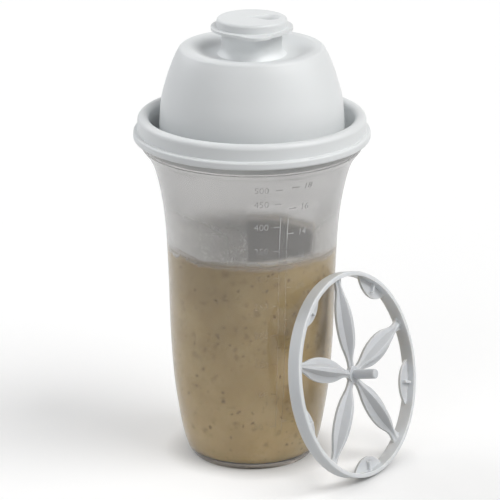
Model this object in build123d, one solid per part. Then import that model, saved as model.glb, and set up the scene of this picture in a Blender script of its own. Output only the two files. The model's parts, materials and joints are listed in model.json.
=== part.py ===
from build123d import *
import os
from math import atan2, cos, degrees, radians, sin

# A press-lid shaker bottle for salad dressing, with its loose mixing wheel.
# The frame's origin is the middle of the cup's foot, on the table, with +Z up the
# bottle's axis and -Y towards the front. All sizes are in millimetres.

# Cup: a tumbler blown outwards at the mouth, with a small step under the lid.
cup_wall = 1.4
cup_floor = 3.2
foot_radius = 28.4
foot_height = 3.2
foot_round = 2.0
cavity_round = 4.0
throat_height = 139.0
throat_radius = 46.2
mouth_step_out = 1.4
mouth_step_height = 1.9
mouth_height = 12.0
mouth_edge_round = 0.5
# Height above the table and radius beyond the foot, as shares of the throat's.
side_height_shares = [0.069, 0.137, 0.220, 0.316, 0.426, 0.550, 0.673, 0.783, 0.865, 0.921, 0.963, 0.986]
side_radius_shares = [0.112, 0.213, 0.309, 0.376, 0.421, 0.444, 0.478, 0.534, 0.624, 0.719, 0.820, 0.916]

# Dressing: what the cup is filled with.
fill_level = 97.5
fill_gap = 0.1

# Clearances between pieces that come apart.
press_gap = 0.3

# Lid: a double wall that straddles the cup's mouth, a dome and a pouring neck.
lid_wall = 1.5
lid_crown = 2.0
rim_round = 2.2
skirt_wall = 1.4
skirt_length = 8.3
band_out = 1.9
band_height = 3.5
band_round = 1.0
groove_width = 4.3
groove_round = 1.0
dome_height = 42.1
dome_draw = 8.2
shoulder_round = 2.0
shoulder_in = 1.1
crest_width = 3.4
# Height up the dome and width over its shoulder, as shares of its own sizes.
dome_height_shares = [0.182, 0.382, 0.481, 0.581, 0.673, 0.771, 0.870, 0.968]
dome_width_shares = [0.976, 0.921, 0.866, 0.756, 0.622, 0.476, 0.293, 0.085]
dish_depth = 3.2
dish_slope_shares = [0.15, 0.35, 0.57, 0.80]
dish_drop_shares = [0.12, 0.45, 0.80, 0.97]
neck_radius = 13.0
neck_wall = 1.6
neck_flare = 1.8
neck_flare_height = 4.0
neck_height = 12.8

# Cap: a snap cap with a plug inside, a grip tab in front and a thumb dimple.
cap_wall = 1.8
cap_top = 3.0
cap_side_depth = 5.0
cap_edge_round = 1.2
cap_flange_out = 2.5
cap_flange_thickness = 1.2
cap_plug_wall = 1.4
cap_plug_length = 5.0
cap_tab_radius = 7.0
cap_tab_out = 3.6
cap_tab_blend = 5.0
cap_turn = 6.0
dimple_sphere = 6.0
dimple_depth = 2.2
dimple_right = 7.6
dimple_back = 0.4
dimple_tail = 11.5
dimple_tail_rise = 0.3
dimple_tail_turn = 8.0

# Mixing wheel: a ring, five folded leaves on a hub with a pin, five half-moon tabs.
wheel_radius = 44.9
wheel_width = 6.1
wheel_wall = 1.9
wheel_edge_round = 0.5
leaf_count = 5
leaf_stations = 18
leaf_half_width = 5.35
leaf_ridge = 4.0
leaf_thickness = 1.3
leaf_back = 1.5
leaf_turn = 4.0
# Stations along a leaf from the hub's middle to the ring's inside, as shares.
leaf_place_shares = [0.02, 0.17, 0.29, 0.43, 0.57, 0.72, 0.87, 1.0]
leaf_width_shares = [0.42, 0.38, 0.74, 0.98, 1.0, 0.76, 0.34, 0.68]
leaf_ridge_shares = [0.30, 0.30, 0.74, 0.98, 1.0, 0.76, 0.32, 0.26]
# Across a leaf: half of its flat crown, where its flanks start to rise, how far they
# have risen there, and the wall under the crown, as a share of the leaf's thickness.
leaf_crown_share = 0.16
leaf_knee_share = 0.50
leaf_flank_share = 0.22
leaf_wall_share = 1.5
hub_radius = 3.8
hub_thickness = 2.2
pin_radius = 2.1
pin_length = 11.1
pin_round = 0.6
tab_back = 1.6
tab_reach = 6.0
tab_curve = 12.8
tab_thickness = 1.2
rib_length = 4.2
rib_height = 1.6
rib_thickness = 1.0

# Where the wheel leans on the cup: the azimuth that it faces, from the front towards
# +X, how far it leans back from upright, how far it has rolled along its own plane to
# its right, and the gap that it keeps to the cup's side.
wheel_azimuth = 56.0
wheel_lean = 14.0
wheel_roll = 4.0
lean_gap = 0.3

# One overrun for every cut.
overrun = 5.0

# Heights and radii that follow from the sizes above.
mouth_radius = throat_radius + mouth_step_out
rim_height = throat_height + mouth_step_height + mouth_height
mouth_inner_radius = mouth_radius - cup_wall
plug_radius = mouth_inner_radius - press_gap
plug_bottom = throat_height + mouth_step_height + press_gap
skirt_inner_radius = mouth_radius + press_gap
skirt_radius = skirt_inner_radius + skirt_wall
skirt_bottom = rim_height - skirt_length
rim_top = rim_height + lid_crown
groove_floor = plug_bottom + lid_wall
groove_radius = plug_radius - lid_wall
dome_radius = groove_radius - groove_width
shoulder_radius = dome_radius - dome_draw
crest_radius = shoulder_radius - shoulder_in
dish_radius = crest_radius - crest_width
dome_top = groove_floor + dome_height
dish_floor = dome_top - dish_depth
neck_base_radius = neck_radius + neck_flare
neck_top = dish_floor + neck_height
neck_bore = neck_radius - neck_wall
cap_bottom = neck_top + cap_top - cap_side_depth
cap_inner_radius = neck_radius + press_gap
cap_radius = cap_inner_radius + cap_wall
cap_flange_radius = cap_radius + cap_flange_out
wheel_inner_radius = wheel_radius - wheel_wall


def at(radius, height):
    """A point of a turned outline."""
    return Vector(radius, 0, height)


def path(*points):
    """Straight edges through the points of a turned outline."""
    return Polyline(*points).edges()


def rounded(edges, corners):
    """The outline's face with each named corner rounded, as (point, radius) pairs."""
    face = make_face(edges).face()
    for point, radius in corners:
        corner = face.vertices().sort_by_distance(point)[0]
        face = face.fillet_2d(radius, [corner])
    return face


def cup_side(inset):
    """The cup's side from its foot to its throat, moved in by a wall or gap."""
    spread = throat_radius - foot_radius
    low = at(foot_radius - inset, foot_height if inset == 0 else cup_floor)
    middle = [at(foot_radius + spread * width - inset, throat_height * height)
              for height, width in zip(side_height_shares, side_radius_shares)]
    return [low, *middle, at(throat_radius - inset, throat_height)]


def make_cup():
    outer_side = cup_side(0)
    inner_side = cup_side(cup_wall)
    step_height = throat_height + mouth_step_height
    outline = [
        *path(at(0, cup_floor), at(0, 0), at(foot_radius - foot_round, 0), outer_side[0]),
        Spline(*outer_side),
        *path(outer_side[-1], at(mouth_radius, step_height), at(mouth_radius, rim_height),
              at(mouth_inner_radius, rim_height), at(mouth_inner_radius, step_height), inner_side[-1]),
        Spline(*inner_side),
        *path(inner_side[0], at(0, cup_floor)),
    ]
    face = rounded(outline, [
        (at(foot_radius - foot_round, 0), foot_round / 2),
        (inner_side[0], cavity_round),
        (at(mouth_radius, rim_height), mouth_edge_round),
        (at(mouth_inner_radius, rim_height), mouth_edge_round),
    ])
    return revolve(face, Axis.Z, 360)


def make_dressing():
    side = cup_side(cup_wall + fill_gap)
    outline = [
        *path(side[-1], at(0, throat_height), at(0, cup_floor), side[0]),
        Spline(*side),
    ]
    filled = revolve(rounded(outline, [(side[0], cavity_round)]), Axis.Z, 360)
    above = Pos(0, 0, fill_level) * Cylinder(
        throat_radius + overrun, throat_height + overrun, align=(Align.CENTER, Align.CENTER, Align.MIN))
    return filled - above


def dome_side(inset):
    """The dome's side from the groove's floor to its shoulder."""
    height = dome_height - shoulder_round
    middle = [at(shoulder_radius + dome_draw * width - inset, groove_floor + height * share)
              for share, width in zip(dome_height_shares, dome_width_shares)]
    return [at(dome_radius - inset, groove_floor), *middle, at(shoulder_radius - inset, groove_floor + height)]


def dish_curve(drop):
    """The dished top from its edge to the foot of the neck."""
    run = dish_radius - neck_base_radius
    middle = [at(dish_radius - run * slope, dome_top - dish_depth * fall - drop)
              for slope, fall in zip(dish_slope_shares, dish_drop_shares)]
    return [at(dish_radius, dome_top - drop), *middle, at(neck_base_radius, dish_floor - drop)]


def make_lid():
    side, inner_side = dome_side(0), dome_side(lid_wall)
    dish, inner_dish = dish_curve(0), dish_curve(lid_wall)
    shoulder = at(crest_radius, dome_top)
    inner_shoulder = shoulder - Vector(lid_wall, 0, lid_wall)
    flare_top = at(neck_radius, dish_floor + neck_flare_height)
    band_top = skirt_bottom + band_height
    band_radius = skirt_radius + band_out
    outline = [
        *path(at(groove_radius, groove_floor), side[0]),
        Spline(*side),
        *path(side[-1], shoulder, dish[0]),
        Spline(*dish),
        Spline(dish[-1], flare_top, tangents=[(-neck_flare, 0, neck_flare), (0, 0, 1)]),
        *path(flare_top, at(neck_radius, neck_top), at(neck_bore, neck_top),
              at(neck_bore, dish_floor - lid_wall), inner_dish[-1]),
        Spline(*inner_dish),
        *path(inner_dish[0], inner_shoulder, inner_side[-1]),
        Spline(*inner_side),
        *path(inner_side[0], at(dome_radius - lid_wall, plug_bottom), at(plug_radius, plug_bottom),
              at(plug_radius, rim_height), at(skirt_inner_radius, rim_height),
              at(skirt_inner_radius, skirt_bottom), at(band_radius, skirt_bottom),
              at(band_radius, band_top), at(skirt_radius, band_top), at(skirt_radius, rim_top),
              at(groove_radius, rim_top), at(groove_radius, groove_floor)),
    ]
    face = rounded(outline, [
        (at(groove_radius, groove_floor), groove_round),
        (side[0], groove_round),
        (at(plug_radius, plug_bottom), lid_wall / 2),
        (at(band_radius, skirt_bottom), band_round),
        (at(band_radius, band_top), band_round),
        (at(skirt_radius, rim_top), rim_round),
        (at(groove_radius, rim_top), rim_round),
        (shoulder, shoulder_round),
        (at(neck_radius, neck_top), neck_wall / 3),
        (at(neck_bore, neck_top), neck_wall / 3),
    ])
    return revolve(face, Axis.Z, 360)


def cap_plate():
    """The cap's flange seen from above: a disc that flows into a lobe in front."""
    lobe = Vector(0, cap_tab_radius - cap_flange_radius - cap_tab_out)
    far, near = cap_flange_radius + cap_tab_blend, cap_tab_radius + cap_tab_blend
    forward = (far ** 2 + lobe.length ** 2 - near ** 2) / (2 * lobe.length)
    sides = []
    for sign in (1, -1):
        blend = Vector(sign * (far ** 2 - forward ** 2) ** 0.5, -forward)
        on_disc = blend * (cap_flange_radius / far)
        on_lobe = lobe + (blend - lobe) * (cap_tab_radius / near)
        middle = blend + ((on_disc + on_lobe) * 0.5 - blend).normalized() * cap_tab_blend
        sides.append((on_disc, middle, on_lobe))
    right, left = sides
    return make_face([
        ThreePointArc(right[0], (0, cap_flange_radius), left[0]),
        ThreePointArc(*left),
        ThreePointArc(left[2], lobe - Vector(0, cap_tab_radius), right[2]),
        ThreePointArc(*reversed(right)),
    ])


def dimple_scoop():
    """A ball with a tail: deep and steep on the right, running out to the left."""
    lift = dimple_sphere - dimple_depth
    reach = (dimple_tail ** 2 + (lift - dimple_tail_rise) ** 2) ** 0.5
    touch = dimple_sphere ** 2 / reach
    side = (dimple_sphere ** 2 - touch ** 2) ** 0.5
    half = make_face([
        Line((-reach, 0), (-touch, side)),
        ThreePointArc((-touch, side), (0, dimple_sphere), (dimple_sphere, 0)),
        Line((dimple_sphere, 0), (-reach, 0)),
    ])
    tilt = degrees(atan2(lift - dimple_tail_rise, dimple_tail))
    return Pos(0, 0, lift) * Rot(0, -tilt, 0) * revolve(half, Axis.X, 360)


def make_cap():
    top = neck_top + cap_top
    plug_outer = neck_bore - press_gap
    plug_inner = plug_outer - cap_plug_wall
    plug_end = neck_top - cap_plug_length
    outline = path(
        at(0, top), at(0, neck_top), at(plug_inner, neck_top), at(plug_inner, plug_end),
        at(plug_outer, plug_end), at(plug_outer, neck_top), at(cap_inner_radius, neck_top),
        at(cap_inner_radius, cap_bottom), at(cap_radius, cap_bottom), at(cap_radius, top), at(0, top))
    face = rounded(outline, [
        (at(cap_radius, top), cap_edge_round),
        (at(plug_outer, plug_end), cap_plug_wall / 3),
    ])
    body = revolve(face, Axis.Z, 360)
    flange = Pos(0, 0, cap_bottom) * extrude(cap_plate(), cap_flange_thickness)
    flange -= Pos(0, 0, cap_bottom) * Cylinder(cap_inner_radius, overrun)
    flange = fillet(flange.edges().filter_by(GeomType.CIRCLE).sort_by(Axis.Z)[-1:], cap_flange_thickness / 4)
    body += Rot(0, 0, cap_turn) * flange
    return body - Pos(dimple_right, dimple_back, top) * Rot(0, 0, -dimple_tail_turn) * dimple_scoop()


def leaf_section(place, half, ridge):
    """A folded leaf cut across at one place along it, in the wheel's own frame."""
    front = leaf_back + leaf_thickness
    crest = front + ridge
    crown, knee = half * leaf_crown_share, half * leaf_knee_share
    flank = front + ridge * leaf_flank_share
    under = crest - leaf_thickness * leaf_wall_share
    corners = [
        (-half, leaf_back), (-knee, leaf_back), (-crown, under), (crown, under), (knee, leaf_back),
        (half, leaf_back), (half, front), (knee, flank), (crown, crest), (-crown, crest),
        (-knee, flank), (-half, front),
    ]
    return Face(Wire.make_polygon([Vector(across, place, height) for across, height in corners]))


def make_leaf():
    """A leaf lofted through stations of one curve of place, half width and ridge."""
    reach = wheel_inner_radius + wheel_wall / 2
    growth = Spline(*[
        Vector(reach * place, leaf_half_width * width, leaf_ridge * ridge)
        for place, width, ridge in zip(leaf_place_shares, leaf_width_shares, leaf_ridge_shares)])
    stations = [growth @ (number / leaf_stations) for number in range(leaf_stations + 1)]
    return loft([leaf_section(*station) for station in stations], ruled=True)


def make_tab():
    """A half-moon plate inside the ring with a short rib on it."""
    centre = wheel_inner_radius - tab_reach + tab_curve
    seat = wheel_inner_radius + wheel_wall / 2
    moon = extrude(Pos(0, centre) * Circle(tab_curve) & Circle(seat), tab_thickness)
    rib = Pos(0, seat, tab_thickness) * Box(
        rib_thickness, rib_length + wheel_wall / 2, rib_height, align=(Align.CENTER, Align.MAX, Align.MIN))
    return Pos(0, 0, tab_back) * (moon + rib)


def make_wheel():
    ring = Cylinder(wheel_radius, wheel_width, align=(Align.CENTER, Align.CENTER, Align.MIN))
    ring = fillet(ring.edges(), wheel_edge_round)
    ring -= Cylinder(wheel_inner_radius, wheel_width * 2 + overrun)
    hub = Pos(0, 0, leaf_back) * Cylinder(
        hub_radius, hub_thickness, align=(Align.CENTER, Align.CENTER, Align.MIN))
    pin = Pos(0, 0, leaf_back) * Cylinder(
        pin_radius, hub_thickness + pin_length, align=(Align.CENTER, Align.CENTER, Align.MIN))
    pin = fillet(pin.edges().sort_by(Axis.Z)[-1:], pin_round)
    wheel = ring + hub + pin
    step = 360 / leaf_count
    for number in range(leaf_count):
        wheel += Rot(0, 0, -leaf_turn - step * number) * make_leaf()
        wheel += Rot(0, 0, -leaf_turn - step * (number + 0.5)) * make_tab()
    return wheel


def cup_radius(height):
    """The cup's outer radius at a height on its side, found by halving."""
    side = Spline(*cup_side(0))
    low, high = 0, 1
    for _ in range(30):
        middle = (low + high) / 2
        if (side @ middle).Z < height:
            low = middle
        else:
            high = middle
    return (side @ low).X


def wheel_place():
    """The wheel's frame: its back's middle, with Z out of its front face.

    The ring stands on its lower back edge and rests its upper back edge on the cup.
    Rolled aside, it meets the cup where it did before, a little off its own top.
    """
    turn, lean = radians(wheel_azimuth), radians(wheel_lean)
    facing = Vector(sin(turn) * cos(lean), -cos(turn) * cos(lean), sin(lean))
    across = Vector(cos(turn), sin(turn), 0)
    reach = wheel_radius - wheel_edge_round
    height = reach * cos(lean) + wheel_edge_round * (1 - sin(lean))
    contact = height + wheel_edge_round * sin(lean) + reach * cos(lean)
    distance = cup_radius(contact) + lean_gap + wheel_edge_round * (1 - cos(lean)) + reach * sin(lean)
    back = Vector(distance * sin(turn), -distance * cos(turn), height) + across * wheel_roll
    return Plane(origin=back, x_dir=across, z_dir=facing)


pieces = {
    "cup": make_cup(),
    "dressing": make_dressing(),
    "lid": make_lid(),
    "cap": make_cap(),
    "mixing_wheel": wheel_place().location * make_wheel(),
}

os.makedirs("parts", exist_ok=True)
for name, shape in pieces.items():
    export_step(shape, f"parts/{name}.step")
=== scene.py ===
import json
import random
from math import atan2, cos, exp, pi, radians, sin

import bmesh
import bpy
from mathutils import Matrix, Vector, noise
from mathutils.bvhtree import BVHTree


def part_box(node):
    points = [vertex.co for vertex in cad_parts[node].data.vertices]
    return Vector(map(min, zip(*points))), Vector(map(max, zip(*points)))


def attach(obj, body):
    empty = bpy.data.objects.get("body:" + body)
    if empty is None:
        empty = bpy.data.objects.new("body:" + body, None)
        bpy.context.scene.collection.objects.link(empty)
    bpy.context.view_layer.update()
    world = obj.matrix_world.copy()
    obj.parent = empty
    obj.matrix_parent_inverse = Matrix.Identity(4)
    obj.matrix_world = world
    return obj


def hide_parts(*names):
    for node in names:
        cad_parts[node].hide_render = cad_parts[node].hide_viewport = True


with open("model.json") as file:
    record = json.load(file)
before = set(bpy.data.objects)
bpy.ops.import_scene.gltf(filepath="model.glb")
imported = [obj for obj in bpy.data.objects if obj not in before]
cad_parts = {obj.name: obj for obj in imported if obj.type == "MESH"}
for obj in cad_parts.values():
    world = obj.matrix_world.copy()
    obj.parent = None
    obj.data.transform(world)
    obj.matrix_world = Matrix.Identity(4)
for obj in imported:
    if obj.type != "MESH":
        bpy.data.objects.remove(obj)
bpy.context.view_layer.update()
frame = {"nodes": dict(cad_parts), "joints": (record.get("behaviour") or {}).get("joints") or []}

nodes = frame["nodes"]
mm = 0.001
fillLow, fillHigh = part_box("dressing")
print("frame loaded:", ", ".join(sorted(nodes)))


# Small helpers

def colour(red, green, blue):
    return (red, green, blue, 1.0)


def newObject(name, bm, material):
    mesh = bpy.data.meshes.new(name)
    bm.to_mesh(mesh)
    bm.free()
    mesh.materials.append(material)
    thing = bpy.data.objects.new(name, mesh)
    bpy.context.scene.collection.objects.link(thing)
    return thing


def newPiece(name, bm, material, body):
    piece = newObject(name, bm, material)
    piece.data.shade_smooth()
    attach(piece, body)
    return piece


def addNode(tree, kind, **settings):
    node = tree.nodes.new(kind)
    for name, value in settings.items():
        setattr(node, name, value)
    return node


def setInput(tree, node, name, value):
    # a socket is linked, anything else is a plain value
    socket = node.inputs[name]
    if isinstance(value, bpy.types.NodeSocket):
        tree.links.new(value, socket)
    else:
        socket.default_value = value


def mathNode(tree, operation, first, second=0.0, clamp=False):
    node = addNode(tree, "ShaderNodeMath", operation=operation, use_clamp=clamp)
    setInput(tree, node, 0, first)
    setInput(tree, node, 1, second)
    return node.outputs[0]


def multiply(tree, first, second):
    return mathNode(tree, "MULTIPLY", first, second)


def add(tree, first, second):
    return mathNode(tree, "ADD", first, second)


def subtract(tree, first, second):
    return mathNode(tree, "SUBTRACT", first, second)


def inverse(tree, mask):
    # 1 where the mask is 0
    return subtract(tree, 1.0, mask)


def centred(tree, mask, spread):
    # half of spread to either side of 0 as the mask goes from 0 to 1
    return multiply(tree, subtract(tree, mask, 0.5), spread)


def uneven(tree, mask, middle, spread):
    # the same about a middle
    return add(tree, multiply(tree, mask, spread), middle - spread / 2)


def vectorNode(tree, operation, first, second=(0.0, 0.0, 0.0)):
    node = addNode(tree, "ShaderNodeVectorMath", operation=operation)
    setInput(tree, node, 0, first)
    setInput(tree, node, 1, second)
    oneNumber = operation in ("DOT_PRODUCT", "DISTANCE", "LENGTH")
    return node.outputs["Value" if oneNumber else "Vector"]


def brighten(tree, tone, level):
    node = addNode(tree, "ShaderNodeVectorMath", operation="SCALE")
    setInput(tree, node, 0, tone)
    setInput(tree, node, "Scale", level)
    return node.outputs[0]


def axisOf(tree, vector, axis):
    split = addNode(tree, "ShaderNodeSeparateXYZ")
    setInput(tree, split, 0, vector)
    return split.outputs[axis]


def mixColour(tree, share, first, second, blend="MIX"):
    node = addNode(tree, "ShaderNodeMix", data_type="RGBA", blend_type=blend, clamp_factor=True)
    setInput(tree, node, 0, share)
    setInput(tree, node, 6, first)
    setInput(tree, node, 7, second)
    return node.outputs[2]


def stepBetween(tree, value, low, high):
    # 0 below low, 1 above high, smooth between; low may be above high
    node = addNode(tree, "ShaderNodeMapRange", interpolation_type="SMOOTHSTEP")
    setInput(tree, node, "Value", value)
    setInput(tree, node, "From Min", low)
    setInput(tree, node, "From Max", high)
    return node.outputs["Result"]


def bandMask(tree, value, band):
    # the band says where it begins, is full, is full for the last time and is gone
    begins, full, last, gone = band
    return multiply(tree, stepBetween(tree, value, begins, full), stepBetween(tree, value, gone, last))


def noiseNode(tree, place, scale, detail=2.0, roughness=0.5, output="Fac"):
    node = addNode(tree, "ShaderNodeTexNoise")
    setInput(tree, node, "Vector", place)
    setInput(tree, node, "Scale", scale)
    setInput(tree, node, "Detail", detail)
    setInput(tree, node, "Roughness", roughness)
    return node.outputs[output]


def cellNode(tree, place, size):
    node = addNode(tree, "ShaderNodeTexVoronoi")
    setInput(tree, node, "Vector", place)
    setInput(tree, node, "Scale", 1 / size)
    return node


def objectPlace(tree):
    return addNode(tree, "ShaderNodeTexCoord").outputs["Object"]


def fromAxis(tree, place):
    # straight out from the bottle's axis
    return vectorNode(tree, "MULTIPLY", place, (1.0, 1.0, 0.0))


def turnOf(tree, place):
    # degrees round the bottle, from the front to the right
    front = multiply(tree, axisOf(tree, place, "Y"), -1.0)
    turn = mathNode(tree, "ARCTAN2", axisOf(tree, place, "X"), front)
    return multiply(tree, turn, 180 / pi)


def groupNode(tree, group, **values):
    node = addNode(tree, "ShaderNodeGroup", node_tree=group)
    for name, value in values.items():
        setInput(tree, node, name, value)
    return node


def newGroup(name, inputs, outputs):
    group = bpy.data.node_groups.new(name, "ShaderNodeTree")
    for label, kind, start in inputs:
        socket = group.interface.new_socket(name=label, in_out="INPUT", socket_type=kind)
        socket.default_value = start
    for label, kind in outputs:
        group.interface.new_socket(name=label, in_out="OUTPUT", socket_type=kind)
    return group, group.nodes.new("NodeGroupInput").outputs, group.nodes.new("NodeGroupOutput").inputs


def setSurface(tree, shader):
    tree.links.new(shader.outputs[0], tree.nodes["Material Output"].inputs["Surface"])


def newMaterial(name):
    material = bpy.data.materials.new(name)
    material.use_nodes = True
    tree = material.node_tree
    tree.nodes.clear()
    shader = addNode(tree, "ShaderNodeBsdfPrincipled")
    addNode(tree, "ShaderNodeOutputMaterial")
    setSurface(tree, shader)
    return material, tree, shader


def addBump(tree, shader, height, style):
    bump = addNode(tree, "ShaderNodeBump")
    setInput(tree, bump, "Height", height)
    setInput(tree, bump, "Strength", style["grain"])
    setInput(tree, bump, "Distance", style["grainDepth"])
    setInput(tree, shader, "Normal", bump.outputs[0])


# Shared shader groups; their scales count features in a metre

numberSocket, colourSocket, placeSocket = "NodeSocketFloat", "NodeSocketColor", "NodeSocketVector"

skinSet = {
    "cloudScale": 38.0,
    "cloudDetail": 3.0,
    "grainScale": 2400.0,
    "grainDetail": 2.0,
    "grainRoughness": 0.6,
}


def makeSkinGroup():
    # the fine grain and cloudiness of a moulded surface
    group, given, made = newGroup(
        "mouldedSkin",
        [("Base", colourSocket, colour(0.8, 0.8, 0.8)), ("Cloud", numberSocket, 0.03),
         ("Grain", numberSocket, skinSet["grainScale"])],
        [("Color", colourSocket), ("Rough", numberSocket), ("Height", numberSocket)])
    place = objectPlace(group)
    cloud = noiseNode(group, place, skinSet["cloudScale"], skinSet["cloudDetail"])
    grain = noiseNode(group, place, given["Grain"], skinSet["grainDetail"], skinSet["grainRoughness"])
    level = add(group, centred(group, cloud, given["Cloud"]), 1.0)
    group.links.new(brighten(group, given["Base"], level), made["Color"])
    group.links.new(multiply(group, add(group, grain, cloud), 0.5), made["Rough"])
    group.links.new(grain, made["Height"])
    return group


edgeSet = {
    "reach": 0.6 * mm,
    "samples": 6,
    "bend": (0.995, 0.86),     # cosine of the turn: where the painted highlight begins and where it is full
}


def makeEdgeGroup():
    # 1 where an edge of the moulding is near, for a painted highlight
    group, given, made = newGroup(
        "paintedEdgeHighlight", [("Reach", numberSocket, edgeSet["reach"])], [("Mask", numberSocket)])
    soft = addNode(group, "ShaderNodeBevel", samples=edgeSet["samples"])
    setInput(group, soft, "Radius", given["Reach"])
    sharp = addNode(group, "ShaderNodeNewGeometry").outputs["Normal"]
    turn = vectorNode(group, "DOT_PRODUCT", soft.outputs[0], sharp)
    group.links.new(stepBetween(group, turn, *edgeSet["bend"]), made["Mask"])
    return group


scratchSet = {
    "scale": 900.0,
    "detail": 3.0,
    "roughness": 0.7,
    "stretch": (0.02, 1.0, 1.0),
    "patchScale": 60.0,
    "line": (0.56, 0.72),      # of the noise: where a line begins and where it is full
    "patch": (0.42, 0.62),
}


def makeScratchGroup():
    # hairlines in patches, all along X
    style = scratchSet
    group, given, made = newGroup(
        "hairlines",
        [("Place", placeSocket, (0, 0, 0)), ("Scale", numberSocket, style["scale"]),
         ("Amount", numberSocket, 0.5)],
        [("Mask", numberSocket)])
    stretch = addNode(group, "ShaderNodeMapping")
    setInput(group, stretch, "Vector", given["Place"])
    setInput(group, stretch, "Scale", style["stretch"])
    fine = noiseNode(group, stretch.outputs[0], given["Scale"], style["detail"], style["roughness"])
    patches = noiseNode(group, given["Place"], style["patchScale"])
    lines = multiply(group, stepBetween(group, fine, *style["line"]),
                     stepBetween(group, patches, *style["patch"]))
    group.links.new(multiply(group, lines, given["Amount"]), made["Mask"])
    return group


skinGroup = makeSkinGroup()
edgeGroup = makeEdgeGroup()
scratchGroup = makeScratchGroup()
print("shader groups made")


# White mouldings: the lid, the cap and the mixing wheel

whitePlastic = {
    "base": colour(0.752, 0.772, 0.780),
    # a painted highlight along the edges of the moulding
    "edgeHighlight": colour(0.82, 0.83, 0.835),
    "scratch": colour(0.66, 0.67, 0.68),
    "scratchShows": 0.3,
    "scratchRoughness": 0.2,   # what a scratch adds
    "roughness": 0.42,
    "roughnessSpread": 0.14,
    "cloud": 0.035,
    "grain": 0.25,
    "grainDepth": 0.03 * mm,
    "refraction": 1.49,
    "bleedTint": (1.0, 0.95, 0.9),
}


def makeWhite(name, pieceSet, scratchPlace=objectPlace, paintedShadeMask=None):
    style = whitePlastic
    material, tree, shader = newMaterial(name)
    base = colour(*(part * share for part, share in zip(style["base"], pieceSet["shade"])))
    skin = groupNode(tree, skinGroup, Base=base, Cloud=style["cloud"])
    edge = groupNode(tree, edgeGroup)
    place = scratchPlace(tree)
    scratch = groupNode(tree, scratchGroup, Place=place, Amount=pieceSet["scratches"]).outputs["Mask"]
    # painted highlight on the edges
    tone = mixColour(tree, edge.outputs["Mask"], skin.outputs["Color"], style["edgeHighlight"])
    tone = mixColour(tree, multiply(tree, scratch, style["scratchShows"]), tone, style["scratch"])
    # painted shade, multiplied in where the piece's mask says
    if paintedShadeMask:
        tone = mixColour(tree, paintedShadeMask(tree, place), tone, pieceSet["tint"], "MULTIPLY")
    setInput(tree, shader, "Base Color", tone)
    rough = uneven(tree, skin.outputs["Rough"], style["roughness"], style["roughnessSpread"])
    rough = add(tree, rough, multiply(tree, scratch, style["scratchRoughness"]))
    setInput(tree, shader, "Roughness", rough)
    shader.inputs["IOR"].default_value = style["refraction"]
    shader.inputs["Subsurface Weight"].default_value = pieceSet["bleed"]
    shader.inputs["Subsurface Radius"].default_value = style["bleedTint"]
    shader.inputs["Subsurface Scale"].default_value = pieceSet["bleedDepth"]
    addBump(tree, shader, subtract(tree, skin.outputs["Height"], scratch), style)
    return material


def setMaterial(node, material):
    nodes[node].material_slots[0].material = material


lidSet = {
    "shade": (1.0, 1.0, 1.0),  # of the white plastic's colour
    "scratches": 0.25,
    "bleed": 0.10,             # light that the plastic lets in under its skin
    "bleedDepth": 1.5 * mm,
}

capSet = {
    "shade": (1.0, 1.0, 1.0),
    "scratches": 0.3,
    "bleed": 0.10,
    "bleedDepth": 1.5 * mm,
    "tint": colour(0.70, 0.705, 0.71),      # painted shade in the dimple for the thumb
    "dimpleRight": 6.0 * mm,
    "dimpleReach": (7.5 * mm, 8.5 * mm),    # out from its middle: full, gone
    "dimpleDepth": (0.1 * mm, 1.8 * mm),    # below the cap's top: begins, full
}

wheelSet = {
    "shade": (0.875, 0.88, 0.895),
    "scratches": 1.7,
    "bleed": 0.75,             # light comes right through it
    "bleedDepth": 3.0 * mm,
    "tint": colour(0.84, 0.84, 0.85),       # painted shade: the thin leaves darker than the ring, for light that goes through them
    "leaning": 14.0,           # degrees back from upright
    "ringRadius": 44.9 * mm,
    "leafFade": (2.0 * mm, 6.0 * mm),       # in from the ring's radius: begins, full
}


# painted shade: 1 in the hollow of the dimple, below the cap's top
def dimpleMask(tree, place):
    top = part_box("cap")[1].z
    far = vectorNode(tree, "DISTANCE", place, (capSet["dimpleRight"], 0.0, top))
    full, gone = capSet["dimpleReach"]
    begins, deep = capSet["dimpleDepth"]
    low = stepBetween(tree, axisOf(tree, place, "Z"), top - begins, top - deep)
    return multiply(tree, low, stepBetween(tree, far, gone, full))


def wheelPlace(tree):
    # X is metres round the wheel, Y along its axis, Z out from it
    joint = next(j for j in frame["joints"] if j["name"] == "wheel_tip")
    across = Vector(joint["axis"])
    low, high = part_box("mixing_wheel")
    aim = (Matrix.Rotation(atan2(across.y, across.x), 3, "Z")
           @ Matrix.Rotation(pi / 2 - radians(wheelSet["leaning"]), 3, "X"))
    place = vectorNode(tree, "SUBTRACT", objectPlace(tree), (low + high) / 2)
    x, y, z = (vectorNode(tree, "DOT_PRODUCT", place, aim.col[axis]) for axis in range(3))
    square = add(tree, mathNode(tree, "POWER", x, 2.0), mathNode(tree, "POWER", y, 2.0))
    turn = mathNode(tree, "ARCTAN2", y, x)
    join = addNode(tree, "ShaderNodeCombineXYZ")
    setInput(tree, join, "X", multiply(tree, turn, wheelSet["ringRadius"]))
    setInput(tree, join, "Y", z)
    setInput(tree, join, "Z", mathNode(tree, "SQRT", square))
    return join.outputs[0]


# painted shade on the leaves, full from a little inside the ring inwards
def leafMask(tree, place):
    begins, full = (wheelSet["ringRadius"] - inwards for inwards in wheelSet["leafFade"])
    return stepBetween(tree, axisOf(tree, place, "Z"), begins, full)


setMaterial("lid", makeWhite("lidWhite", lidSet))
setMaterial("cap", makeWhite("capWhite", capSet, paintedShadeMask=dimpleMask))
setMaterial("mixing_wheel", makeWhite("wheelWhite", wheelSet, wheelPlace, leafMask))
print("white plastic made")


# The cup: a milky wall, clearer in a window behind the scale

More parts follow.
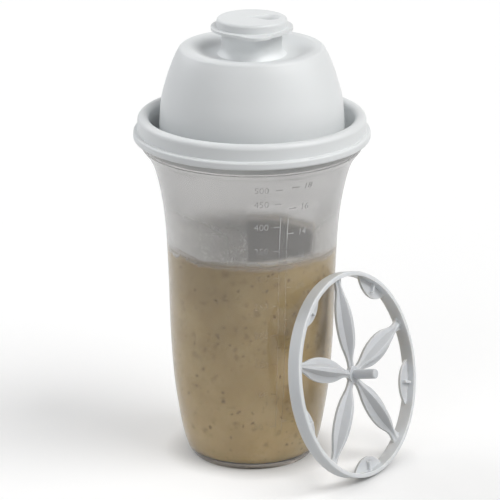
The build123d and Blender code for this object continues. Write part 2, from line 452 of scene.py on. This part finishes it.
cupSet = {
    "wall": 1.4 * mm,
    "base": colour(0.755, 0.75, 0.745),
    "foot": colour(0.22, 0.195, 0.17),      # painted shade on the thick foot, from the floor it sits on and the dressing above it
    "footTop": (2.3 * mm, 4.6 * mm),        # full, gone
    "clear": 0.94,             # share of light that goes through, the rest is milk
    "haze": 0.35,              # milk that gathers where the wall is seen edge on
    "hazeSpread": 0.45,
    "roughness": 0.22,
    "roughnessSpread": 0.08,
    "refraction": 1.49,
    "windowTurn": (-4.5, -1.5, 40.0, 48.0),  # degrees right of the front
    "windowTop": (124.0 * mm, 128.0 * mm),  # full, gone
    "windowRoughness": 0.09,
    "lampTint": colour(0.91, 0.905, 0.895),  # what each face lets through from a lamp
    "cloud": 0.05,
    "grain": 0.3,
    "grainDepth": 0.04 * mm,
    "innerFace": 1.0 * mm,     # an inner face has less than this of its place along its normal
    "wetMargin": 0.2 * mm,     # how far below the dressing a face still counts as wet
    "measureFrom": -200.0 * mm,             # left of the cup, to find its outside
}


def wetInnerFace(tree):
    # below the fill the dressing wets the inner face, so that face vanishes
    place = objectPlace(tree)
    height = axisOf(tree, place, "Z")
    geometry = addNode(tree, "ShaderNodeNewGeometry")
    outward = vectorNode(tree, "DOT_PRODUCT", fromAxis(tree, place), geometry.outputs["True Normal"])
    sign = subtract(tree, 1.0, multiply(tree, geometry.outputs["Backfacing"], 2.0))
    inner = mathNode(tree, "LESS_THAN", multiply(tree, outward, sign), cupSet["innerFace"])
    below = mathNode(tree, "LESS_THAN", height, fillHigh.z)
    above = mathNode(tree, "GREATER_THAN", height, fillLow.z - cupSet["wetMargin"])
    return multiply(tree, multiply(tree, inner, below), above)


def makeWall():
    style = cupSet
    material, tree, shader = newMaterial("milkyWall")
    skin = groupNode(tree, skinGroup, Base=style["base"], Cloud=style["cloud"])
    place = objectPlace(tree)
    height = axisOf(tree, place, "Z")
    full, gone = style["windowTop"]
    window = multiply(tree, bandMask(tree, turnOf(tree, place), style["windowTurn"]),
                      stepBetween(tree, height, gone, full))
    rough = uneven(tree, skin.outputs["Rough"], style["roughness"], style["roughnessSpread"])
    wiped = multiply(tree, window, style["roughness"] - style["windowRoughness"])
    setInput(tree, shader, "Roughness", mathNode(tree, "SUBTRACT", rough, wiped, True))
    # painted shade on the foot, fading out above it
    full, gone = style["footTop"]
    foot = stepBetween(tree, height, gone, full)
    setInput(tree, shader, "Base Color", mixColour(tree, foot, skin.outputs["Color"], style["foot"]))
    shader.inputs["IOR"].default_value = style["refraction"]
    shader.inputs["Transmission Weight"].default_value = style["clear"]
    shader.inputs["Sheen Weight"].default_value = style["haze"]
    shader.inputs["Sheen Roughness"].default_value = style["hazeSpread"]
    addBump(tree, shader, skin.outputs["Height"], style)
    setInput(tree, shader, "Alpha", inverse(tree, wetInnerFace(tree)))
    # lamps and bounced light reach what is inside
    path = addNode(tree, "ShaderNodeLightPath")
    through = addNode(tree, "ShaderNodeBsdfTransparent")
    through.inputs["Color"].default_value = style["lampTint"]
    blend = addNode(tree, "ShaderNodeMixShader")
    setInput(tree, blend, 0, mathNode(tree, "ADD", path.outputs["Is Shadow Ray"],
                                      path.outputs["Is Diffuse Ray"], True))
    tree.links.new(shader.outputs[0], blend.inputs[1])
    tree.links.new(through.outputs[0], blend.inputs[2])
    setSurface(tree, blend)
    return material


setMaterial("cup", makeWall())
cupShape = BVHTree.FromPolygons(
    [v.co.copy() for v in nodes["cup"].data.vertices],
    [tuple(p.vertices) for p in nodes["cup"].data.polygons])


def outerRadius(z):
    # from the left, clear of the wheel, because the cup is round at every height
    hit = cupShape.ray_cast(Vector((cupSet["measureFrom"], 0, z)), Vector((1, 0, 0)))[0]
    return -hit.x


def innerRadius(z):
    return outerRadius(z) - cupSet["wall"]


print("cup finished")


# The dressing, with its edge drawn up the wall

dressingSet = {
    "weld": 0.001 * mm,        # points nearer than this are one
    "coverDepth": 0.1 * mm,    # how far below the fill line a face is still the flat top
    "climb": 0.3 * mm,         # how far the edge climbs the wall
    "climbReach": 2.2 * mm,    # how far in from the wall it does so
    "ripple": 0.35 * mm,
    "rippleSize": 16.0 * mm,
    "rings": 30,
    "ringCrowding": 1.25,      # over 1 the rings lie closer near the middle
    "middle": 0.1 * mm,        # radius of the last ring
    "slice": 0.4,              # which slice of the noise the ripple takes
    "base": colour(0.43, 0.305, 0.115),
    "pale": colour(0.51, 0.38, 0.17),
    "cloud": (55.0, 4.0, 0.55),             # the pale clouds: scale, detail, roughness
    "cloudEdges": (0.35, 0.70),
    "floorBounce": 0.50,            # painted light from the floor: how much paler it is at the bottom
    # the top's middle is painted shade under the lid; its edge is froth with painted light that comes
    # in through the wall
    "top": colour(0.13, 0.13, 0.135),
    "frothAndLitEdge": colour(0.62, 0.60, 0.56),
    "topReach": (0.80, 0.97),  # where the painted shade of the middle ends, as shares of the surface's radius
    "topWave": 4.0 * mm,
    "topFacing": (0.4, 0.8),   # how much a face looks up: begins, full
    "topShows": 0.92,
    # cell, largest fleck as a share of its cell, soft edge, how much it shows, tint
    "flecks": ((4.4 * mm, 0.58, 0.50, 0.62, colour(0.58, 0.52, 0.37)),
               (3.0 * mm, 0.40, 0.28, 0.80, colour(0.42, 0.35, 0.18)),
               (1.9 * mm, 0.38, 0.28, 0.45, colour(0.50, 0.43, 0.27))),
    "fleckShift": (0.013, 0.004, 0.021),    # moves the whole pattern of flecks, m
    "fleckBend": 1.1,          # how far its outline is bent, in cells
    "fleckBendScale": 1.3,     # bends in a cell
    "fleckBendDetail": 3.0,
    "fleckSizes": 1.1,         # over 1 there are more small ones
    "bleed": 0.85,             # light that goes in and comes out again nearby
    "bleedDepth": 8.0 * mm,
    "bleedTint": (1.0, 0.8, 0.5),
    "roughness": 0.48,
    "roughnessSpread": 0.2,
    "grain": 0.3,
    "grainDepth": 0.2 * mm,
}


def fleckMask(tree, place, cell, size, blur):
    # shreds of uneven size and outline; size and blur are shares of a cell
    style = dressingSet
    bend = noiseNode(tree, place, style["fleckBendScale"] / cell, style["fleckBendDetail"],
                     output="Color")
    shift = addNode(tree, "ShaderNodeVectorMath", operation="MULTIPLY_ADD")
    setInput(tree, shift, 0, bend)
    setInput(tree, shift, 1, (cell * style["fleckBend"],) * 3)
    setInput(tree, shift, 2, place)
    cells = cellNode(tree, shift.outputs[0], cell)
    split = addNode(tree, "ShaderNodeSeparateColor")
    setInput(tree, split, 0, cells.outputs["Color"])
    reach = multiply(tree, mathNode(tree, "POWER", split.outputs["Red"], style["fleckSizes"]), size)
    return stepBetween(tree, subtract(tree, reach, cells.outputs["Distance"]), 0.0, blur)


def makeDressingMaterial():
    style = dressingSet
    material, tree, shader = newMaterial("herbDressing")
    place = objectPlace(tree)
    cloud = noiseNode(tree, place, *style["cloud"])
    tone = mixColour(tree, stepBetween(tree, cloud, *style["cloudEdges"]), style["base"], style["pale"])
    # painted light from the floor, paler towards the bottom
    low = stepBetween(tree, axisOf(tree, place, "Z"), fillHigh.z, 0.0)
    tone = brighten(tree, tone, add(tree, multiply(tree, low, style["floorBounce"]), 1.0))
    moved = vectorNode(tree, "ADD", place, style["fleckShift"])
    for cell, size, blur, shows, tint in style["flecks"]:
        mask = fleckMask(tree, moved, cell, size, blur)
        tone = mixColour(tree, multiply(tree, mask, shows), tone, tint, "MULTIPLY")
    # painted shade darkens the top in the middle; at the wall it is pale with froth and painted light
    geometry = addNode(tree, "ShaderNodeNewGeometry")
    facing = axisOf(tree, geometry.outputs["True Normal"], "Z")
    reach = vectorNode(tree, "LENGTH", fromAxis(tree, place))
    wavy = add(tree, reach, multiply(tree, cloud, style["topWave"]))
    near, far = (fillHigh.x * share for share in style["topReach"])
    top = mixColour(tree, stepBetween(tree, wavy, near, far), style["top"], style["frothAndLitEdge"])
    shows = multiply(tree, stepBetween(tree, facing, *style["topFacing"]), style["topShows"])
    setInput(tree, shader, "Base Color", mixColour(tree, shows, tone, top))
    setInput(tree, shader, "Roughness",
             uneven(tree, cloud, style["roughness"], style["roughnessSpread"]))
    shader.inputs["Subsurface Weight"].default_value = style["bleed"]
    shader.inputs["Subsurface Radius"].default_value = style["bleedTint"]
    shader.inputs["Subsurface Scale"].default_value = style["bleedDepth"]
    addBump(tree, shader, add(tree, cloud, mask), style)
    return material


def surfaceHeight(fromWall):
    return fillHigh.z + dressingSet["climb"] * exp(-fromWall / dressingSet["climbReach"])


def makeDressing():
    style = dressingSet
    bm = bmesh.new()
    bm.from_mesh(nodes["dressing"].data)
    bmesh.ops.remove_doubles(bm, verts=bm.verts, dist=style["weld"])
    cover = [f for f in bm.faces if f.normal.z > style["topFacing"][1]
             and f.calc_center_median().z > fillHigh.z - style["coverDepth"]]
    bmesh.ops.delete(bm, geom=cover, context="FACES")
    edges = [e for e in bm.edges if e.is_boundary]
    rim = edges[0].verts[0].co.xy.length
    for ring in range(style["rings"] + 1):
        radius = rim * (1 - ring / style["rings"]) ** style["ringCrowding"] + style["middle"]
        height = surfaceHeight(rim - radius)
        grown = bmesh.ops.extrude_edge_only(bm, edges=edges)["geom"]
        edges = [g for g in grown if isinstance(g, bmesh.types.BMEdge)]
        for v in (g for g in grown if isinstance(g, bmesh.types.BMVert)):
            v.co.xy *= radius / v.co.xy.length
            wave = noise.noise(Vector((v.co.x, v.co.y, style["slice"])) / style["rippleSize"])
            calm = min(1, (rim - radius) / style["climbReach"])
            v.co.z = height + style["ripple"] * wave * calm
    middle = bmesh.ops.contextual_create(bm, geom=edges)["faces"]
    bmesh.ops.poke(bm, faces=middle)
    bmesh.ops.recalc_face_normals(bm, faces=bm.faces)
    piece = newPiece("dressingBody", bm, makeDressingMaterial(), "cup")
    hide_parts("dressing")


makeDressing()
print("dressing made")


# Froth on the dressing, round its edge and in a patch

frothSet = {
    "ringBubbles": 190,
    "patchBubbles": 150,
    "small": 0.35 * mm,
    "large": 1.0 * mm,
    "smallness": 3,            # over 1 there are more small ones
    "segments": (8, 6),        # of a bubble's mesh: round it, up it
    "sunk": 0.35,              # share of a bubble's radius below the surface
    "wallGap": 0.2 * mm,
    "ringWidth": 2.5 * mm,
    "ringCrowding": 2,         # over 1 they gather at the wall
    "patchTurn": (150, 250),   # degrees from +X, the left front of the surface
    "patchReach": 0.75,        # in from the wall, as a share of the surface's radius
    "patchCrowding": 1.4,
    "seed": 11,
    "base": colour(0.50, 0.47, 0.42),
    "cloud": 0.25,
    "grainScale": 900.0,
    "roughness": 0.25,
    "roughnessSpread": 0.3,
    "refraction": 1.36,
    "grain": 0.3,
    "grainDepth": 0.1 * mm,
}


def makeFrothMaterial():
    style = frothSet
    material, tree, shader = newMaterial("frothBubble")
    skin = groupNode(tree, skinGroup, Base=style["base"], Cloud=style["cloud"],
                     Grain=style["grainScale"])
    setInput(tree, shader, "Base Color", skin.outputs["Color"])
    setInput(tree, shader, "Roughness",
             uneven(tree, skin.outputs["Rough"], style["roughness"], style["roughnessSpread"]))
    shader.inputs["IOR"].default_value = style["refraction"]
    addBump(tree, shader, skin.outputs["Height"], style)
    return material


def makeBubbles():
    style = frothSet
    draw = random.Random(style["seed"])
    wall = innerRadius(fillHigh.z)
    one = bmesh.new()
    around, up = style["segments"]
    bmesh.ops.create_uvsphere(one, u_segments=around, v_segments=up, radius=1.0)
    ball = bpy.data.meshes.new("ball")
    one.to_mesh(ball)
    one.free()
    bm = bmesh.new()
    for bubble in range(style["ringBubbles"] + style["patchBubbles"]):
        growth = draw.random() ** style["smallness"]
        size = style["small"] + (style["large"] - style["small"]) * growth
        if bubble < style["ringBubbles"]:
            turn = draw.uniform(0, 2 * pi)
            inwards = style["ringWidth"] * draw.random() ** style["ringCrowding"]
            reach = wall - size - style["wallGap"] - inwards
        else:
            turn = radians(draw.uniform(*style["patchTurn"]))
            inwards = style["patchReach"] * draw.random() ** style["patchCrowding"]
            reach = wall * (1 - inwards) - size
        height = surfaceHeight(wall - reach) + size * (1 - 2 * style["sunk"])
        spot = Vector((reach * cos(turn), reach * sin(turn), height))
        move = Matrix.Translation(spot) @ Matrix.Scale(size, 4)
        ball.transform(move)
        bm.from_mesh(ball)
        ball.transform(move.inverted())
    bpy.data.meshes.remove(ball)
    newPiece("frothBubbles", bm, makeFrothMaterial(), "cup")


makeBubbles()
print("froth made")


# The film that shaking leaves on the wall above the dressing

filmSet = {
    "bottom": 94.0 * mm,
    "top": 122.0 * mm,
    "thickness": 0.03 * mm,
    "clearance": 0.03 * mm,
    "rows": 24,
    "steps": 144,
    "base": colour(0.93, 0.92, 0.90),
    "right": colour(0.72, 0.71, 0.70),      # painted shade, on the side where the lamps are strong
    "rightFrom": (-20, 40),    # degrees right of the front: begins, full
    "bubble": colour(0.95, 0.945, 0.93),
    "bubbleCell": 1.0 * mm,
    "bubbleRim": (0.45, 0.25),              # out from a cell's middle: gone, full
    "bubblePatch": (0.45, 0.60),
    "cloud": (160.0, 4.0, 0.6),             # scale, detail, roughness
    "cloudWave": 8.0 * mm,     # how far the clouds shift the film's borders
    "margin": 1.0 * mm,        # bare at the film's top and bottom
    "fade": 13.0 * mm,         # how far down from its top it grows thin
    "sides": 0.62,             # how much more it hides at both sides of the bottle
    "leftTurn": (-112, -74, -52, -8),       # degrees right of the front
    "rightTurn": (40, 56, 72, 130),
    "rightFade": 20.0 * mm,
    "veil": 0.22,              # all round but for the clear strip that the scale stands on
    "bubbles": 0.32,           # more where a bubble is
    "clearTurn": (-4.5, -1.5, 42.0, 48.0),
    "backFrom": (95, 130),     # degrees from the front, either way: begins, full
    "thinBack": 0.75,          # how much of the veil is missing at the back
    "edge": 0.42,              # along the dressing's edge
    "edgeHeight": 3.0 * mm,
    "edgeTone": colour(0.56, 0.51, 0.44),
    "edgeToneFrom": (0.2, 0.8),
    "edgeWave": 6.0 * mm,
    "edgeWaveScale": 70.0,
    "wet": 0.16,               # just below the dressing's edge
    "wetLeft": 0.5,            # and more there at the left
    "roughness": 0.35,
    "roughnessSpread": 0.2,
    "refraction": 1.36,
    "grain": 0.3,
    "grainDepth": 0.1 * mm,
}


def makeFilmMaterial():
    style = filmSet
    material, tree, shader = newMaterial("wallFilm")
    place = objectPlace(tree)
    turn, height = turnOf(tree, place), axisOf(tree, place, "Z")
    cloud = noiseNode(tree, place, *style["cloud"])
    distance = cellNode(tree, place, style["bubbleCell"]).outputs["Distance"]
    bubble = multiply(tree, stepBetween(tree, distance, *style["bubbleRim"]),
                      stepBetween(tree, cloud, *style["bubblePatch"]))
    # the closer to the dressing's edge, the more it takes that edge's tone
    waves = centred(tree, noiseNode(tree, place, style["edgeWaveScale"]), style["edgeWave"])
    off = mathNode(tree, "ABSOLUTE", subtract(tree, add(tree, height, waves), fillHigh.z))
    near = stepBetween(tree, off, style["edgeHeight"], 0.0)
    # painted shade on the right, where the lamps are strong
    tone = mixColour(tree, stepBetween(tree, turn, *style["rightFrom"]), style["base"], style["right"])
    tone = mixColour(tree, bubble, tone, style["bubble"])
    tone = mixColour(tree, stepBetween(tree, near, *style["edgeToneFrom"]), tone, style["edgeTone"])
    setInput(tree, shader, "Base Color", tone)
    setInput(tree, shader, "Roughness",
             uneven(tree, cloud, style["roughness"], style["roughnessSpread"]))
    shader.inputs["IOR"].default_value = style["refraction"]
    # at the sides it is thick
    top = style["top"] - style["margin"]
    wavy = add(tree, height, centred(tree, cloud, style["cloudWave"]))
    left = bandMask(tree, turn, style["leftTurn"])
    right = multiply(tree, bandMask(tree, turn, style["rightTurn"]),
                     stepBetween(tree, wavy, top, style["top"] - style["rightFade"]))
    sides = multiply(tree, mathNode(tree, "MAXIMUM", left, right), style["sides"])
    # elsewhere it is a veil, with more where a bubble is and less at the back
    veil = add(tree, multiply(tree, bubble, style["bubbles"]), style["veil"])
    veil = multiply(tree, veil, inverse(tree, bandMask(tree, turn, style["clearTurn"])))
    back = stepBetween(tree, mathNode(tree, "ABSOLUTE", turn), *style["backFrom"])
    veil = multiply(tree, veil, inverse(tree, multiply(tree, back, style["thinBack"])))
    edge = multiply(tree, near, style["edge"])
    dry = multiply(tree, add(tree, sides, veil),
                   stepBetween(tree, wavy, top, style["top"] - style["fade"]))
    dry = mathNode(tree, "MAXIMUM", dry, edge)
    wet = add(tree, multiply(tree, left, style["wetLeft"]), style["wet"])
    wet = multiply(tree, wet, stepBetween(tree, wavy, style["bottom"] + style["margin"], fillHigh.z))
    wet = mathNode(tree, "MAXIMUM", wet, edge)
    below = mathNode(tree, "LESS_THAN", height, fillHigh.z)
    setInput(tree, shader, "Alpha", mathNode(
        tree, "ADD", multiply(tree, below, wet), multiply(tree, inverse(tree, below), dry), True))
    addBump(tree, shader, add(tree, cloud, bubble), style)
    return material


def makeFilm():
    style = filmSet
    bm = bmesh.new()
    column = []
    for row in range(style["rows"] + 1):
        z = style["bottom"] + (style["top"] - style["bottom"]) * row / style["rows"]
        column.append(bm.verts.new((innerRadius(z) - style["clearance"], 0, z)))
    line = [bm.edges.new(pair) for pair in zip(column, column[1:])]
    bmesh.ops.spin(bm, geom=column + line, axis=(0, 0, 1), cent=(0, 0, 0), angle=2 * pi,
                   steps=style["steps"], use_merge=True)
    bmesh.ops.recalc_face_normals(bm, faces=bm.faces)
    outwards = sum(f.normal.dot(f.calc_center_median() * Vector((1, 1, 0))) for f in bm.faces)
    if outwards < 0:
        bmesh.ops.reverse_faces(bm, faces=bm.faces)
    bmesh.ops.solidify(bm, geom=bm.faces, thickness=style["thickness"])
    newPiece("wallFilm", bm, makeFilmMaterial(), "cup")


makeFilm()
print("film made")


# The moulded scale: plain numbers, ticks and lines, raised on the cup

scaleSet = {
    "raise": 0.22 * mm,
    "sink": 0.05 * mm,         # how far a mark's foot goes into the wall
    "digitSize": 4.25 * mm,
    "digitSteps": 3,           # in each curve of a digit
    "thin": 0.07 * mm,         # taken off all round each digit
    "lineWidth": 0.30 * mm,
    "lineBottom": 20.0 * mm,
    "lineCuts": 60,            # so that a line follows the cup's side
    "weld": 0.0005 * mm,       # points nearer than this are one
    "base": colour(0.60, 0.585, 0.59),
    "low": colour(0.80, 0.80, 0.80),        # the marks just above the dressing, which look pale
    "lowTop": (120.0 * mm, 122.0 * mm),     # full, gone
    "dry": 0.55,               # how much a mark shows above the dressing
    "wet": 0.06,               # and in front of it
    "dryFrom": (-1.0 * mm, 17.0 * mm),      # up from the dressing's top: begins, full
    "cloud": 0.2,
    "roughness": 0.4,
    "roughnessSpread": 0.2,
    "grain": 0.2,
    "grainDepth": 0.03 * mm,
}

metricScale = {
    "marks": {50: 22.5, 100: 38.2, 150: 52.5, 200: 66.0, 250: 79.2, 300: 92.0,
              350: 104.4, 400: 115.6, 450: 126.4, 500: 133.2},     # ml: mm up
    "digitTurn": 1.2,          # degrees right of the front
    "tickTurn": (13.9, 17.6),
    "lineTurn": 18.0,
    "lineTop": 120.5 * mm,
}

ounceScale = {
    "marks": {2: 24.5, 4: 41.5, 6: 57.5, 8: 72.5, 10: 87.3, 12: 101.5,
              14: 112.0, 16: 123.8, 18: 133.8},                    # ounces: mm up
    "digitTurn": 30.5,
    "tickTurn": (23.0, 27.5),
    "lineTurn": 23.0,
    "lineTop": 120.0 * mm,
}


def makeMarkMaterial():
    style = scaleSet
    material, tree, shader = newMaterial("raisedMark")
    skin = groupNode(tree, skinGroup, Base=style["base"], Cloud=style["cloud"])
    height = axisOf(tree, objectPlace(tree), "Z")
    full, gone = style["lowTop"]
    low = stepBetween(tree, height, gone, full)
    setInput(tree, shader, "Base Color", mixColour(tree, low, skin.outputs["Color"], style["low"]))
    setInput(tree, shader, "Roughness",
             uneven(tree, skin.outputs["Rough"], style["roughness"], style["roughnessSpread"]))
    dry = stepBetween(tree, height, *(fillHigh.z + up for up in style["dryFrom"]))
    setInput(tree, shader, "Alpha",
             add(tree, multiply(tree, dry, style["dry"] - style["wet"]), style["wet"]))
    addBump(tree, shader, skin.outputs["Height"], style)
    return material


def wrapOnCup(bm, mark):
    # in the mark, X is degrees right of the front, Y is out from the wall, Z is height
    for v in mark.verts:
        turn, radius = radians(v.co.x), outerRadius(v.co.z) + v.co.y
        v.co = Vector((radius * sin(turn), -radius * cos(turn), v.co.z))
    held = bpy.data.meshes.new("mark")
    mark.to_mesh(held)
    mark.free()
    bm.from_mesh(held)
    bpy.data.meshes.remove(held)


def addBar(bm, turns, heights, cuts=0):
    mark = bmesh.new()
    bmesh.ops.create_cube(mark, size=1.0)
    for v in mark.verts:
        v.co.x = turns[0] if v.co.x < 0 else turns[1]
        v.co.y = -scaleSet["sink"] if v.co.y < 0 else scaleSet["raise"]
        v.co.z = heights[0] if v.co.z < 0 else heights[1]
    if cuts:
        tall = [e for e in mark.edges if abs(e.verts[0].co.z - e.verts[1].co.z) > scaleSet["lineWidth"]]
        bmesh.ops.subdivide_edges(mark, edges=tall, cuts=cuts, use_grid_fill=True)
    wrapOnCup(bm, mark)


def addDigits(bm, text, turn, height):
    style = scaleSet
    curve = bpy.data.curves.new("digits", "FONT")
    curve.body, curve.size, curve.align_y = text, style["digitSize"], "CENTER"
    curve.extrude = (style["raise"] + style["sink"]) / 2
    curve.offset = -style["thin"]
    curve.resolution_u = style["digitSteps"]
    holder = bpy.data.objects.new("digits", curve)
    bpy.context.scene.collection.objects.link(holder)
    shown = holder.evaluated_get(bpy.context.evaluated_depsgraph_get())
    mesh = bpy.data.meshes.new_from_object(shown)
    mark = bmesh.new()
    mark.from_mesh(mesh)
    degree = radians(1) * outerRadius(height)
    for v in mark.verts:
        x, y, z = v.co
        v.co = Vector((turn + x / degree, z + (style["raise"] - style["sink"]) / 2, height + y))
    wrapOnCup(bm, mark)
    bpy.data.objects.remove(holder)
    bpy.data.curves.remove(curve)
    bpy.data.meshes.remove(mesh)


def makeScale(name, scale, material):
    half = scaleSet["lineWidth"] / 2
    bm = bmesh.new()
    for label, up in scale["marks"].items():
        height = up * mm
        addBar(bm, scale["tickTurn"], (height - half, height + half))
        addDigits(bm, str(label), scale["digitTurn"], height)
    turn, top = scale["lineTurn"], scale["lineTop"]
    wide = half / outerRadius(top) / radians(1)
    addBar(bm, (turn - wide, turn + wide), (scaleSet["lineBottom"], top), scaleSet["lineCuts"])
    bmesh.ops.remove_doubles(bm, verts=bm.verts, dist=scaleSet["weld"])
    bmesh.ops.recalc_face_normals(bm, faces=bm.faces)
    piece = newPiece(name, bm, material, "cup")
    piece.data.shade_flat()


markMaterial = makeMarkMaterial()
makeScale("metricScale", metricScale, markMaterial)
makeScale("ounceScale", ounceScale, markMaterial)
print("scale made")


# Floor, world, lamps and camera

stageSet = {
    "floorSize": 12.0,
    "floorSquares": 8,         # along each side
    "floor": colour(0.56, 0.56, 0.56),
    "floorRoughness": 0.9,
    "floorGloss": 0.1,
    "floorLift": 0.46,         # only what the camera sees of the floor
    "contactReach": 12.0 * mm,              # how close a thing over the floor darkens it, a painted contact shadow
    "contactSamples": 8,
    "sky": 0.0,                # light from all round
    "skyTint": colour(1.0, 1.0, 1.0),
}


def seenByEye(tree):
    # camera rays, and the reflected and refracted ones that stand for them
    path = addNode(tree, "ShaderNodeLightPath")
    seen = add(tree, path.outputs["Is Camera Ray"], path.outputs["Is Glossy Ray"])
    return mathNode(tree, "ADD", seen, path.outputs["Is Transmission Ray"], True)


def makeFloorMaterial():
    style = stageSet
    material, tree, shader = newMaterial("paleFloor")
    shader.inputs["Base Color"].default_value = style["floor"]
    shader.inputs["Roughness"].default_value = style["floorRoughness"]
    shader.inputs["Specular IOR Level"].default_value = style["floorGloss"]
    # painted contact shadow: less lift where something stands close over the floor
    near = addNode(tree, "ShaderNodeAmbientOcclusion", samples=style["contactSamples"])
    setInput(tree, near, "Distance", style["contactReach"])
    lift = addNode(tree, "ShaderNodeEmission")
    strength = multiply(tree, seenByEye(tree), style["floorLift"])
    setInput(tree, lift, "Strength", multiply(tree, strength, near.outputs["AO"]))
    both = addNode(tree, "ShaderNodeAddShader")
    tree.links.new(shader.outputs[0], both.inputs[0])
    tree.links.new(lift.outputs[0], both.inputs[1])
    setSurface(tree, both)
    return material


def makeFloor():
    bm = bmesh.new()
    squares = stageSet["floorSquares"]
    bmesh.ops.create_grid(bm, x_segments=squares, y_segments=squares, size=stageSet["floorSize"] / 2)
    newObject("floor", bm, makeFloorMaterial())


def makeWorld():
    world = bpy.data.worlds.new("studio")
    bpy.context.scene.world = world
    world.use_nodes = True
    tree = world.node_tree
    back = tree.nodes["Background"]
    back.inputs["Color"].default_value = stageSet["skyTint"]
    seen = multiply(tree, seenByEye(tree), 1.0 - stageSet["sky"])
    setInput(tree, back, "Strength", add(tree, seen, stageSet["sky"]))


lampSet = {
    # name: degrees right of the camera, degrees up, softness in degrees, strength, colour
    "key": (63, 52, 36, 2.05, (1.0, 0.995, 0.985)),
    "side": (85, 27, 40, 0.75, (1.0, 0.995, 0.985)),
    "back": (-120, 33, 45, 1.4, (0.975, 0.985, 1.0)),
    "front": (-30, 27, 45, 0.70, (0.985, 0.99, 1.0)),
}


def makeLamps():
    for name, (right, up, soft, strength, tint) in lampSet.items():
        light = bpy.data.lights.new(name, "SUN")
        light.angle, light.energy, light.color = radians(soft), strength, tint
        lamp = bpy.data.objects.new(name, light)
        turn, rise = radians(right), radians(up)
        place = Vector((sin(turn) * cos(rise), -cos(turn) * cos(rise), sin(rise)))
        lamp.location = place
        lamp.rotation_euler = (-place).to_track_quat("-Z", "Y").to_euler()
        bpy.context.scene.collection.objects.link(lamp)


cameraSet = {
    "place": (0.0, -1.210, 0.5033),
    "pitchDown": 18.74,        # degrees
    "sensor": 36.0,            # mm
    "lens": 210.5,
    "shiftX": -0.0038,         # the bottle stands a little right of the middle
}


def makeCamera():
    style = cameraSet
    data = bpy.data.cameras.new("camera")
    data.sensor_width, data.lens, data.shift_x = style["sensor"], style["lens"], style["shiftX"]
    camera = bpy.data.objects.new("camera", data)
    camera.location = style["place"]
    camera.rotation_euler = (radians(90 - style["pitchDown"]), 0, 0)
    bpy.context.scene.collection.objects.link(camera)
    bpy.context.scene.camera = camera


makeFloor()
makeWorld()
makeLamps()
makeCamera()
bpy.context.scene.view_settings.view_transform = "Standard"
print("stage, lamps and camera made")
